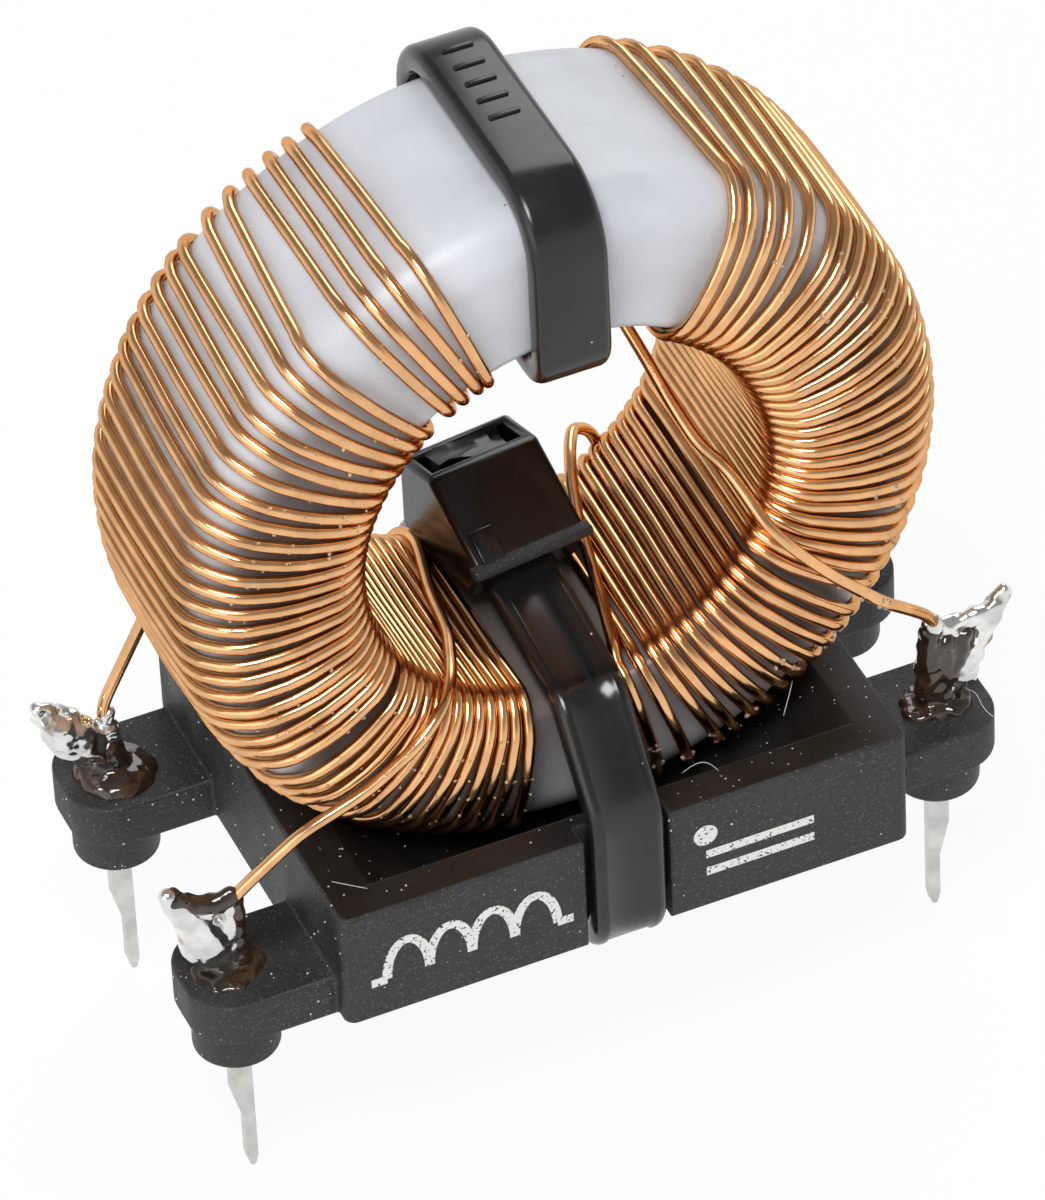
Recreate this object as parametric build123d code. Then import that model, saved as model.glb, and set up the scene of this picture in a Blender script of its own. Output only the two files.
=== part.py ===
"""Common-mode choke on a vertical base: a coated ring core with two copper windings, tied into a
moulded base that carries four flat pins.

Millimetres. The origin is the middle of the four pins on the plane where the standoffs meet the
board. +X runs along the base, -Y is the front, +Z is up.
"""
import os
from math import cos, pi, radians, sin, sqrt

from build123d import *

# Pin layout on the board
pin_row_pitch = 25.4
left_pin_spacing = 10.16
right_pin_spacing = 7.62

# Base moulding
base_length = 19.8
base_depth = 15.6
base_height = 4.55
base_corner = 0.4
standoff_height = 1.65
standoff_diameter = 2.88
arm_width = 4.0
arm_thickness = 1.65
arm_past_pin = 1.75
arm_corner = 1.5
round_limit_share = 0.49
saddle_depth = 12.8
saddle_clearance = 0.25
saddle_floor = 1.54
notch_width = 2.9
notch_depth = 0.75

# Ring core, coating included
core_outer_diameter = 25.3
core_inner_diameter = 14.8
core_depth = 9.0
core_outer_corner = 1.6
core_inner_corner = 0.5

# Windings
wire_diameter = 0.44
wire_clearance = 0.02
wire_sides = 6
corner_bends = 3
turns = 38
left_start_angle = 21.0
left_end_angle = 166.0
right_start_angle = 28.0
right_end_angle = 164.5
crossing_lift = 0.5
lead_start_inset_angle = 5.0
rear_lead_edge_gap = 0.6
rear_lead_edge_angle = 124.7
top_radius_share = 0.36
front_advance_share = 0.5
left_hole_angles = (156.0, 131.0)
right_hole_angles = (22.0, 109.5)
left_front_radius_shares = (0.745, 0.975)
left_front_angles = (135.0, 132.0)
right_front_radius_shares = (0.645, 0.835)
right_front_angles = (116.0, 121.0)

# Pins, stamped from strip
pin_width = 0.7
pin_thickness = 0.45
pin_length = 5.65
pin_tip_width = 0.3
pin_tip_chamfer = 0.4
pin_taper_length = 3.2
pin_clearance = 0.02
prong_height = 3.4
prong_width = 0.36
horn_width = 0.5
horn_reach = 2.2
horn_rise = 2.1

# Solder joints, as outlines round the fork
solder_foot = 0.55
solder_overlap = 0.3
solder_half_thickness = 0.8
solder_taper = 22.0
lead_entry_depth = 1.3

# Nylon ties
strap_width = 2.5
strap_thickness = 1.0
tie_clearance = 0.05
tie_bend = 1.6
head_width = 4.1
head_length = 4.9
head_lip_height = 1.7
head_top_height = 3.4
head_end_height = 2.8
head_top_share = 0.59
base_head_front = -0.2
base_head_yaw = 6.5
ring_head_drop = 2.2

# One overrun for every cut
cut_overrun = 1.0

# Sizes that follow from the ones above
core_outer = core_outer_diameter / 2
core_inner = core_inner_diameter / 2
wire_radius = wire_diameter / 2
wire_lift = wire_radius + wire_clearance
second_layer = wire_lift + wire_diameter + wire_clearance
crossing_depth = core_depth / 2 + wire_lift + crossing_lift
outer_run = core_outer + wire_lift
base_bottom = standoff_height
base_top = base_bottom + base_height
arm_top = base_bottom + arm_thickness
wound_radius = core_outer + wire_diameter + wire_clearance
core_centre_height = base_bottom + saddle_floor + saddle_clearance + wound_radius
strap_seat = sqrt(core_inner ** 2 - (strap_width / 2) ** 2) - tie_clearance
PIN_PLACES = {
    "front_left": (-1, -left_pin_spacing / 2),
    "rear_left": (-1, left_pin_spacing / 2),
    "front_right": (1, -right_pin_spacing / 2),
    "rear_right": (1, right_pin_spacing / 2),
}


def box_between(low, high):
    """A box from its lowest to its highest corner."""
    size = [b - a for a, b in zip(low, high)]
    middle = [(a + b) / 2 for a, b in zip(low, high)]
    return Pos(*middle) * Box(*size)


def plate_xz(points, middle_y, thickness):
    """A flat plate with an outline in X and Z, centred on middle_y."""
    outline = make_face(Polyline(*[(x, middle_y, z) for x, z in points], close=True))
    return extrude(outline, amount=thickness / 2, dir=(0, 1, 0), both=True)


def plate_yz(points, width):
    """A flat plate with an outline in Y and Z, centred on the middle of the part."""
    outline = make_face(Polyline(*[(0, y, z) for y, z in points], close=True))
    return extrude(outline, amount=width / 2, dir=(1, 0, 0), both=True)


def make_core():
    """The ring, a rectangle with softer outer edges than inner ones, turned about its axis."""
    middle = (core_outer + core_inner) / 2
    section = Pos(middle, 0) * Rectangle(core_outer - core_inner, core_depth)
    section = fillet(section.vertices().group_by(Axis.X)[0], core_inner_corner)
    section = fillet(section.vertices().group_by(Axis.X)[-1], core_outer_corner)
    return Pos(0, 0, core_centre_height) * revolve(section, Axis.Y)


def make_arm(side, pin_y):
    """One arm of the base with the standoff under its pin."""
    pin_x = side * pin_row_pitch / 2
    inner = side * (base_length / 2 - base_corner)
    outer = pin_x + side * arm_past_pin
    plan = Pos((inner + outer) / 2, pin_y) * Rectangle(abs(outer - inner), arm_width)
    ends = [v for v in plan.vertices() if abs(v.X - outer) < abs(v.X - inner)]
    plan = fillet(ends, min(arm_corner, arm_width * round_limit_share))
    arm = Pos(0, 0, base_bottom) * extrude(plan, arm_thickness)
    standoff = Pos(pin_x, pin_y, arm_top / 2) * Cylinder(standoff_diameter / 2, arm_top)
    return arm + standoff


def make_pin(side, pin_y):
    """One flat pin, tapered below the board and forked above its arm."""
    half = pin_width / 2
    tip = -pin_length
    fork = arm_top + horn_rise / 2
    top = arm_top + prong_height
    slant = horn_width / sqrt(2)
    horn_x = half + horn_reach
    horn_z = fork + horn_rise
    points = [
        (-half, tip + pin_tip_chamfer),
        (-half + pin_tip_width / 2, tip),
        (-half + pin_tip_width, tip + pin_tip_chamfer),
        (half, tip + pin_tip_chamfer + pin_taper_length),
        (half, fork),
        (horn_x, horn_z),
        (horn_x - slant, horn_z + slant),
        (-half + prong_width, fork + slant),
        (-half + prong_width, top),
        (-half, top),
    ]
    centre = side * pin_row_pitch / 2
    return plate_xz([(centre + side * x, z) for x, z in points], pin_y, pin_thickness)


def pin_passage(side, pin_y):
    """The slot that a pin leaves in its arm and standoff."""
    pin_x = side * pin_row_pitch / 2
    half_x = pin_width / 2 + pin_clearance
    half_y = pin_thickness / 2 + pin_clearance
    low = (pin_x - half_x, pin_y - half_y, -cut_overrun)
    high = (pin_x + half_x, pin_y + half_y, arm_top + cut_overrun)
    return box_between(low, high)


def make_base():
    """The moulded block with its saddle, strap notches, arms, standoffs and pin slots."""
    plan = Rectangle(base_length, base_depth)
    plan = fillet(plan.vertices(), base_corner)
    base = Pos(0, 0, base_bottom) * extrude(plan, base_height)
    saddle = Cylinder(wound_radius + saddle_clearance, saddle_depth, rotation=(90, 0, 0))
    base -= Pos(0, 0, core_centre_height) * saddle
    for face in (-1, 1):
        wall = face * base_depth / 2
        near = (-notch_width / 2, min(wall, wall - face * notch_depth), 0)
        far = (notch_width / 2, max(wall, wall - face * notch_depth), base_top + cut_overrun)
        base -= box_between(near, far)
    notch_edges = [
        edge for edge in base.edges().filter_by(Axis.X)
        if abs(edge.center().Y) < (base_depth - notch_depth) / 2
        and edge.center().Z < base_bottom + notch_depth
    ]
    base = fillet(notch_edges, tie_bend - strap_thickness / 2 - tie_clearance)
    for side, pin_y in PIN_PLACES.values():
        base += make_arm(side, pin_y)
    for side, pin_y in PIN_PLACES.values():
        base -= pin_passage(side, pin_y)
    return base


def on_ring(side, radius, depth, angle):
    """A point by its radius from the ring's axis, its Y, and its angle from the top."""
    turn = radians(angle)
    return (side * radius * sin(turn), depth, core_centre_height + radius * cos(turn))


def section_point(index, lift):
    """Corner number index of a turn round the core's section, as a radius and a Y.

    A turn runs through the bore to the front, out across the front, back over the outside and in
    across the back. Its bends are straight bits that touch the round of the core's corner.
    """
    step = 90 / corner_bends
    bend = radians(90 + step / 2 + step * index)
    corner = core_outer_corner if cos(bend) > 0 else core_inner_corner
    round_off = (corner + lift) / cos(radians(step / 2))
    radial = core_outer - corner if cos(bend) > 0 else core_inner + corner
    along = core_depth / 2 - corner
    depth = along if sin(bend) > 0 else -along
    return radial + round_off * cos(bend), depth + round_off * sin(bend)


def lead_end(side, pin_y, inside):
    """Where a lead leaves its solder joint, or ends inside it."""
    pin_x = side * pin_row_pitch / 2
    off = pin_thickness / 2 + wire_radius + wire_clearance
    across = pin_y - off if pin_y < 0 else pin_y + off
    top = arm_top + prong_height + solder_overlap
    if inside:
        return (pin_x, across, top - lead_entry_depth)
    return (pin_x - side * pin_width / 2, across, top + wire_radius)


def turn_points(side, start, end):
    """A winding's turns, from the rear at its top to the rear at its foot."""
    pitch = (end - start) / turns
    points = []
    for turn in range(turns):
        for index in range(4 * corner_bends):
            passed = 0 if index < corner_bends else front_advance_share
            radius, depth = section_point(index, wire_lift)
            points.append(on_ring(side, radius, depth, start + pitch * (turn + passed)))
    middle = (core_outer + core_inner) / 2
    points.append(on_ring(side, middle, crossing_depth, end + pitch / 2))
    return points


def top_point(side, start):
    """Where a wire meets the rear of its first turn."""
    radius = core_inner + top_radius_share * (core_outer - core_inner)
    return on_ring(side, radius, crossing_depth, start - lead_start_inset_angle)


def rear_lead(side, spacing):
    """The lead at the rear, from inside its solder joint to the ring's edge."""
    edge = on_ring(side, outer_run + rear_lead_edge_gap, crossing_depth, rear_lead_edge_angle)
    return [lead_end(side, spacing / 2, True), lead_end(side, spacing / 2, False), edge]


def front_lead(side, spacing, hole_angles, front_shares, front_angles):
    """The lead at the front, from the rear of the hole over the turns to inside its solder joint."""
    points = []
    for index in range(2 * corner_bends):
        radius, depth = section_point(index, second_layer)
        points.append(on_ring(side, radius, depth, hole_angles[index // corner_bends]))
    for share, angle in zip(front_shares, front_angles):
        points.append(on_ring(side, share * outer_run, -crossing_depth - wire_radius, angle))
    return points + [lead_end(side, -spacing / 2, False), lead_end(side, -spacing / 2, True)]


def left_route():
    """The left winding's middle line, from its rear pin up to its top and down to its front pin."""
    front = front_lead(-1, left_pin_spacing, left_hole_angles, left_front_radius_shares,
                       left_front_angles)
    turned = turn_points(-1, left_start_angle, left_end_angle)
    return rear_lead(-1, left_pin_spacing) + [top_point(-1, left_start_angle)] + turned + front


def right_route():
    """The right winding's middle line, from its front pin through the hole to its top and down again."""
    front = front_lead(1, right_pin_spacing, right_hole_angles, right_front_radius_shares,
                       right_front_angles)
    turned = turn_points(1, right_start_angle, right_end_angle)
    route = front[::-1] + [top_point(1, right_start_angle)] + turned
    return route + rear_lead(1, right_pin_spacing)[::-1]


def wire_solid(route):
    """Drawn wire along a route, with a flat-sided section and a mitre at each point."""
    points = [Vector(*place) for place in route]
    runs = [(b - a).normalized() for a, b in zip(points, points[1:])]
    first = runs[0].cross(Vector(0, 1, 0)).normalized()
    second = runs[0].cross(first)
    turns_round = [2 * pi * k / wire_sides for k in range(wire_sides)]
    ring = [points[0] + (first * cos(a) + second * sin(a)) * wire_radius for a in turns_round]
    faces = [Face(Wire.make_polygon(ring))]
    for number, run in enumerate(runs):
        mitre = run + runs[number + 1] if number + 1 < len(runs) else run
        joint = points[number + 1]
        onward = [p + run * ((joint - p).dot(mitre) / run.dot(mitre)) for p in ring]
        for k in range(wire_sides):
            after = (k + 1) % wire_sides
            faces.append(Face(Wire.make_polygon([ring[k], ring[after], onward[after], onward[k]])))
        ring = onward
    faces.append(Face(Wire.make_polygon(ring)))
    return Solid(Shell(faces))


def make_solder(side, pin_y):
    """A solder joint that fills a pin's fork, open round the pin and the end of the lead."""
    half = pin_width / 2
    foot = arm_top + solder_foot
    fork = arm_top + horn_rise / 2
    top = arm_top + prong_height + solder_overlap
    horn_x = half + horn_reach
    horn_z = fork + horn_rise
    outline = [
        (-half - solder_overlap, foot),
        (half + solder_overlap, foot),
        (half + 2 * solder_overlap, fork - solder_overlap),
        (horn_x + solder_overlap, horn_z - solder_overlap),
        (horn_x, horn_z + 2 * solder_overlap),
        (half + horn_reach / 2, horn_z),
        (half, top),
        (-half - solder_overlap, top),
        (-half - 2 * solder_overlap, fork),
    ]
    centre = side * pin_row_pitch / 2
    points = [(centre + side * x, pin_y, z) for x, z in outline]
    sheet = make_face(Polyline(*points, close=True))
    blob = extrude(sheet, solder_half_thickness, dir=(0, 1, 0), taper=solder_taper)
    blob += extrude(sheet, solder_half_thickness, dir=(0, -1, 0), taper=solder_taper)
    blob -= make_pin(side, pin_y)
    inner_end = Vector(*lead_end(side, pin_y, True))
    outer_end = Vector(*lead_end(side, pin_y, False))
    lead = Plane(inner_end, z_dir=outer_end - inner_end)
    length = (outer_end - inner_end).length + cut_overrun
    blob -= lead * (Pos(0, 0, length / 2) * Cylinder(wire_radius + wire_clearance, length))
    return blob


def head_outline(start, along, floor):
    """A tie head's side view, from the lip at start to its tall end, with heights above floor."""
    end = start + along * head_length
    return [
        (start, floor),
        (start, floor + head_lip_height),
        (start + along * head_top_share * head_length, floor + head_top_height),
        (end, floor + head_end_height),
        (end, floor),
    ]


def tie_loop(depth, height, off):
    """The outline of a tie pulled round the ring's section, at a distance off it."""
    loop = Rectangle(depth, height)
    loop = fillet(loop.vertices().group_by(Axis.Y)[0], core_inner_corner + off)
    return fillet(loop.vertices().group_by(Axis.Y)[-1], core_outer_corner + off)


def make_ring_tie():
    """The tie round the top of the ring, with its head at the back."""
    inner_low = core_centre_height + strap_seat
    inner_high = core_centre_height + core_outer + tie_clearance
    height = inner_high - inner_low
    depth = core_depth + 2 * tie_clearance
    middle = Plane.YZ * Pos(0, (inner_high + inner_low) / 2)
    outer = tie_loop(depth + 2 * strap_thickness, height + 2 * strap_thickness, strap_thickness)
    inner = tie_loop(depth, height, 0)
    strap = extrude(middle * (outer - inner), amount=strap_width / 2, both=True)
    lip = inner_low - ring_head_drop + head_length
    head = plate_yz([(y, z) for z, y in head_outline(lip, -1, depth / 2)], head_width)
    return strap + head


def make_base_tie():
    """The tie that straps the ring to the base, with its head in the ring's hole over its own tail."""
    half_strap = strap_thickness / 2
    front = -(base_depth / 2 - notch_depth + half_strap + tie_clearance)
    under = base_bottom - half_strap - tie_clearance
    shoulder = base_top + half_strap
    crest_y = core_depth / 2 + half_strap + tie_clearance
    crest_z = core_centre_height - strap_seat + half_strap
    head_floor = crest_z + half_strap
    root = (base_head_front + half_strap, head_floor + half_strap)
    tail = (base_head_front + head_top_share * head_length, crest_z)
    route = [
        root,
        (-crest_y, crest_z),
        (front, shoulder),
        (front, under),
        (-front, under),
        (-front, shoulder),
        (crest_y, crest_z),
        tail,
    ]
    path = FilletPolyline(*[(0, y, z) for y, z in route], radius=tie_bend)
    section = Plane(path @ 0, x_dir=(1, 0, 0), z_dir=path % 0) * Rectangle(strap_width, strap_thickness)
    strap = sweep(section, path=path)
    middle = base_head_front + head_length / 2
    head = plate_yz(head_outline(-head_length / 2, 1, head_floor), head_width)
    return strap + Pos(0, middle, 0) * Rot(0, 0, base_head_yaw) * head


pieces = {
    "coated_core": make_core(),
    "base": make_base(),
    "ring_tie": make_ring_tie(),
    "base_tie": make_base_tie(),
}
for name, (side, pin_y) in PIN_PLACES.items():
    pieces[name + "_pin"] = make_pin(side, pin_y)
    pieces[name + "_solder"] = make_solder(side, pin_y)
pieces["left_winding"] = wire_solid(left_route())
pieces["right_winding"] = wire_solid(right_route())

os.makedirs("parts", exist_ok=True)
for name, shape in pieces.items():
    export_step(shape, os.path.join("parts", name + ".step"))
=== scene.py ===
import random
from math import ceil, cos, pi, radians, sin, sqrt

import bmesh
import bpy
from mathutils import Matrix, Vector, noise


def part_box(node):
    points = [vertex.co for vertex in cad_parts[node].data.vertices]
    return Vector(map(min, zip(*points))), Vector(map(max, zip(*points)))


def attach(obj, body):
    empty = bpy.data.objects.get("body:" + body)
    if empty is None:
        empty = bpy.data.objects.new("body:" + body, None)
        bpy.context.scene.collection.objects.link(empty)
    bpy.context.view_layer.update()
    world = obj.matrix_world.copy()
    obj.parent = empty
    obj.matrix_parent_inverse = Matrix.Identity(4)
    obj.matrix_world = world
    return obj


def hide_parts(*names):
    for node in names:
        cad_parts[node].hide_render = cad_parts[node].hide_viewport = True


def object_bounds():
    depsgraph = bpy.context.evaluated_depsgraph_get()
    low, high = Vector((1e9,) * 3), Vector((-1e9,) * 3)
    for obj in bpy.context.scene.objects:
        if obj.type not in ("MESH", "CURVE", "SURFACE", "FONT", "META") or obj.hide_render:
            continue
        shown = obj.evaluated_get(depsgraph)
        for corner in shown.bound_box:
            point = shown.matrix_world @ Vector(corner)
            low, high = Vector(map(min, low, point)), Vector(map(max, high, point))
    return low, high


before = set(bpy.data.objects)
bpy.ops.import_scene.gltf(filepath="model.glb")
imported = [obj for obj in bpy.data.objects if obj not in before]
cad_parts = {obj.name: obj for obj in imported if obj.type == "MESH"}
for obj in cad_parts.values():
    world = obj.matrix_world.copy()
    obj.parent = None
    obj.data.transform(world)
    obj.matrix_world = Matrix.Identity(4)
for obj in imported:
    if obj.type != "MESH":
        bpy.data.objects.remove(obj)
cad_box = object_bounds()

# Base moulding
# A black, glass-filled block that holds the ring in a curved saddle, with four arms that end in
# standoffs. It is moulded in one piece, and its rough skin holds dust.
mm = 0.001
base_low, base_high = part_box("base")
base_front = base_low.y
base_bottom = 1.65 * mm
base_top = base_high.z
block_half_length = 9.9 * mm
saddle_half_depth = 6.4 * mm
mould_edge = 0.13 * mm
notch_foot = 2 * mm
saddle_margin = 0.2 * mm
saddle_low = base_bottom + 0.5 * mm
mould_black = (0.024, 0.024, 0.0245, 1)
saddle_black = (0.010, 0.0095, 0.009, 1)
dust_white = (0.62, 0.61, 0.58, 1)
glint_grey = (0.09, 0.09, 0.09, 1)
dust_grey = (0.34, 0.34, 0.33, 1)
grain_depth = 0.05 * mm
rough_tones = (0.3, 0.7)
colour_tones = (0.35, 0.65)


def new_group(name, inputs, outputs):
    """A shader node group with number inputs and named outputs, and its two end nodes."""
    group = bpy.data.node_groups.new(name, "ShaderNodeTree")
    for label, value in inputs:
        socket = group.interface.new_socket(label, in_out="INPUT", socket_type="NodeSocketFloat")
        socket.default_value = value
    for label in outputs:
        group.interface.new_socket(label, in_out="OUTPUT", socket_type="NodeSocketFloat")
    return group, group.nodes.new("NodeGroupInput"), group.nodes.new("NodeGroupOutput")


def add_node(tree, kind, links=(), **settings):
    """A node with its settings, and its inputs fed from (socket name, source socket or value) pairs."""
    node = tree.nodes.new(kind)
    for name, value in settings.items():
        setattr(node, name, value)
    for name, source in links:
        if isinstance(source, bpy.types.NodeSocket):
            tree.links.new(source, node.inputs[name])
        else:
            node.inputs[name].default_value = source
    return node


def maths(tree, operation, *values):
    """The result of a sum on sockets and numbers."""
    return add_node(tree, "ShaderNodeMath", list(enumerate(values)), operation=operation).outputs[0]


def remap(tree, value, start, end, low, high, **settings):
    """A value carried from the range start to end onto the range low to high."""
    links = [("Value", value), ("From Min", start), ("From Max", end), ("To Min", low), ("To Max", high)]
    return add_node(tree, "ShaderNodeMapRange", links, **settings).outputs["Result"]


def paint_over(tree, shader, under, mask, colour):
    """Puts a colour over the one that feeds a shader where a mask says so, and gives the result."""
    over = add_node(tree, "ShaderNodeMix", data_type="RGBA")
    colour_under, colour_over, result = over.inputs[6], over.inputs[7], over.outputs[2]
    tree.links.new(mask, over.inputs["Factor"])
    tree.links.new(under, colour_under)
    colour_over.default_value = colour
    tree.links.new(result, shader.inputs["Base Color"])
    return result


def grain_group():
    """Moulded or drawn grain: a fine height, and a slow change of tone, both about 0 to 1."""
    group, ins, outs = new_group(
        "surface grain", [("Grain per mm", 6.0), ("Tone per mm", 0.4)], ["Height", "Tone"])
    place = add_node(group, "ShaderNodeTexCoord").outputs["Object"]
    for label, rate, detail in (("Height", "Grain per mm", 4.0), ("Tone", "Tone per mm", 6.0)):
        scale = maths(group, "MULTIPLY", ins.outputs[rate], 1 / mm)
        cloud = add_node(group, "ShaderNodeTexNoise",
                         [("Vector", place), ("Scale", scale), ("Detail", detail)])
        group.links.new(cloud.outputs["Fac"], outs.inputs[label])
    return group


def speck_group():
    """Loose specks: one in each cell that is picked, of its own size."""
    group, ins, outs = new_group(
        "loose specks", [("Cells per mm", 2.5), ("Amount", 0.2), ("Size", 0.2)], ["Mask"])
    place = add_node(group, "ShaderNodeTexCoord").outputs["Object"]
    scale = maths(group, "MULTIPLY", ins.outputs["Cells per mm"], 1 / mm)
    cells = add_node(group, "ShaderNodeTexVoronoi", [("Vector", place), ("Scale", scale)])
    pick = add_node(group, "ShaderNodeSeparateColor", [("Color", cells.outputs["Color"])])
    kept = maths(group, "LESS_THAN", pick.outputs["Red"], ins.outputs["Amount"])
    reach = maths(group, "MULTIPLY", pick.outputs["Green"], ins.outputs["Size"])
    inside = maths(group, "LESS_THAN", cells.outputs["Distance"], reach)
    group.links.new(maths(group, "MULTIPLY", kept, inside), outs.inputs["Mask"])
    return group


surface_grain = grain_group()
speck_cells = speck_group()


def finish(name, colour, roughness, **settings):
    """A new material with its shader, set to one colour and roughness to start from."""
    material = bpy.data.materials.new(name)
    material.use_nodes = True
    tree = material.node_tree
    shader = tree.nodes["Principled BSDF"]
    shader.inputs["Base Color"].default_value = colour
    shader.inputs["Roughness"].default_value = roughness
    for label, value in settings.items():
        shader.inputs[label.replace("_", " ").title().replace("Ior", "IOR")].default_value = value
    return material, tree, shader


def grained_finish(name, colour, roughness, shades, grain, tone, bump, rough_range, **settings):
    """A new material that follows the surface grain in bump, roughness and colour, and that colour."""
    material, tree, shader = finish(name, colour, roughness, **settings)
    group = add_node(tree, "ShaderNodeGroup", [("Grain per mm", grain), ("Tone per mm", tone)],
                     node_tree=surface_grain)
    lump = add_node(tree, "ShaderNodeBump", [("Height", group.outputs["Height"]), ("Strength", bump),
                                             ("Distance", grain_depth)])
    tree.links.new(lump.outputs["Normal"], shader.inputs["Normal"])
    tree.links.new(remap(tree, group.outputs["Tone"], *rough_tones, *rough_range), shader.inputs["Roughness"])
    ramp = add_node(tree, "ShaderNodeValToRGB", [("Fac", group.outputs["Tone"])])
    for stop, place, shade in zip(ramp.color_ramp.elements, colour_tones, shades):
        stop.position = place
        stop.color = tuple(c * shade for c in colour[:3]) + (1,)
    tree.links.new(ramp.outputs["Color"], shader.inputs["Base Color"])
    return material, tree, shader, ramp.outputs["Color"]


def add_specks(tree, shader, under, cells, amount, size, colour):
    """Puts specks of a colour over the one that feeds a shader, and gives the colour that results."""
    group = add_node(tree, "ShaderNodeGroup", [("Cells per mm", cells), ("Amount", amount), ("Size", size)],
                     node_tree=speck_cells)
    return paint_over(tree, shader, under, group.outputs["Mask"], colour)


mould_finish, tree, shader, tone = grained_finish(
    "black moulding", mould_black, 0.55, shades=(0.75, 1.3), grain=7.0, tone=0.5, bump=0.8,
    rough_range=(0.45, 0.65), specular_ior_level=0.4)
# The many fine grey specks are painted glints in the moulding's skin; the few paler ones below are dust.
tone = add_specks(tree, shader, tone, cells=14.0, amount=0.3, size=0.5, colour=glint_grey)
add_specks(tree, shader, tone, cells=5.0, amount=0.06, size=0.14, colour=dust_grey)
saddle_finish, tree, shader, tone = grained_finish(
    "black saddle", saddle_black, 0.4, shades=(0.7, 1.3), grain=3.0, tone=0.6, bump=0.2,
    rough_range=(0.34, 0.5), specular_ior_level=0.35)
add_specks(tree, shader, tone, cells=7.0, amount=0.1, size=0.24, colour=dust_white)


def new_object(name, data):
    """An object that is linked to the scene."""
    made = bpy.data.objects.new(name, data)
    bpy.context.scene.collection.objects.link(made)
    return made


def add_piece(name, mesh, slot, *materials):
    """A piece of the object: linked, painted and riding on the one body."""
    piece = new_object(name, mesh)
    for material in materials:
        mesh.materials.append(material)
    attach(piece, "root")
    return piece


def ease_edges(form, edges, ease, steps=3, clamp=True):
    """Rounds off some of a form's edges."""
    bmesh.ops.bevel(form, geom=edges, offset=ease, segments=steps, profile=0.5, affect="EDGES",
                    clamp_overlap=clamp)


def eased_copy(node, name, ease, left_sharp):
    """A copy of a solid's mesh with its sharp edges rounded off, but for those left sharp."""
    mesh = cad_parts[node].data.copy()
    mesh.name = name
    mesh.materials.clear()
    form = bmesh.new()
    form.from_mesh(mesh)
    bmesh.ops.remove_doubles(form, verts=form.verts, dist=0.001 * mm)
    bmesh.ops.dissolve_limit(form, angle_limit=radians(0.5), verts=form.verts, edges=form.edges)
    sharp = [e for e in form.edges if len(e.link_faces) == 2 and e.calc_face_angle(0) > radians(30)]
    sharp = [e for e in sharp if not left_sharp((e.verts[0].co + e.verts[1].co) / 2)]
    ease_edges(form, sharp, ease, clamp=False)
    form.to_mesh(mesh)
    form.free()
    if "custom_normal" in mesh.attributes:
        mesh.attributes.remove(mesh.attributes["custom_normal"])
    mesh.shade_smooth()
    mesh.set_sharp_from_angle(angle=radians(50))
    return mesh


def weight_normals(piece):
    """Keeps the flat faces flat beside their rounded edges."""
    weights = piece.modifiers.new("flats", "WEIGHTED_NORMAL")
    weights.keep_sharp = True


def at_notch_foot(middle):
    """Tells whether an edge lies where the strap's notch runs out under the block."""
    return abs(middle.x) < notch_foot and middle.z < base_bottom + notch_foot


base_mesh = eased_copy("base", "base_moulding", mould_edge, at_notch_foot)
base = add_piece("base_moulding", base_mesh, "black_moulding", mould_finish, saddle_finish)
weight_normals(base)
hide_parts("base")
for face in base.data.polygons:
    inside = abs(face.center.y) < saddle_half_depth + mould_edge / 4 and face.center.z > saddle_low
    face.material_index = 1 if inside and abs(face.center.x) < block_half_length - saddle_margin else 0

# Printed marks
# A coil sign, and two bars with a dot, screen printed in thin white ink on the front wall. The ink
# is worn into small holes by the grain under it.
ink_white = (0.74, 0.74, 0.72, 1)
ink_width = 0.34 * mm
ink_proud = 0.006 * mm
ink_grain = 9.0
ink_wear = (0.36, 0.42)
mark_height = 3.2 * mm
coil_middle = -5.5 * mm
coil_hump = 0.74 * mm
coil_rise = 1.45 * mm
coil_humps = 4
coil_tail = 0.55 * mm
bar_middle = 4.6 * mm
bar_length = 3.8 * mm
bar_rises = (0.0, 0.75 * mm)
dot_rise = 1.6 * mm
dot_radius = 0.42 * mm

ink_finish, tree, shader = finish("white ink", ink_white, 0.6)
grain = add_node(tree, "ShaderNodeGroup", [("Grain per mm", ink_grain)], node_tree=surface_grain)
tree.links.new(remap(tree, grain.outputs["Height"], *ink_wear, 0.0, 1.0), shader.inputs["Alpha"])


def add_band(form, middle_line, width, coats):
    """A flat band of ink along a line of (x, z) places on the front wall, over earlier coats."""
    depth = base_front - coats * ink_proud
    rows = []
    for number, (x, z) in enumerate(middle_line):
        before = middle_line[max(number - 1, 0)]
        after = middle_line[min(number + 1, len(middle_line) - 1)]
        run = Vector((after[0] - before[0], after[1] - before[1])).normalized()
        side = Vector((-run.y, run.x)) * width / 2
        rows.append([form.verts.new((x + s * side.x, depth, z + s * side.y)) for s in (-1, 1)])
    for low, high in zip(rows, rows[1:]):
        form.faces.new((low[0], high[0], high[1], low[1]))


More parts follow.
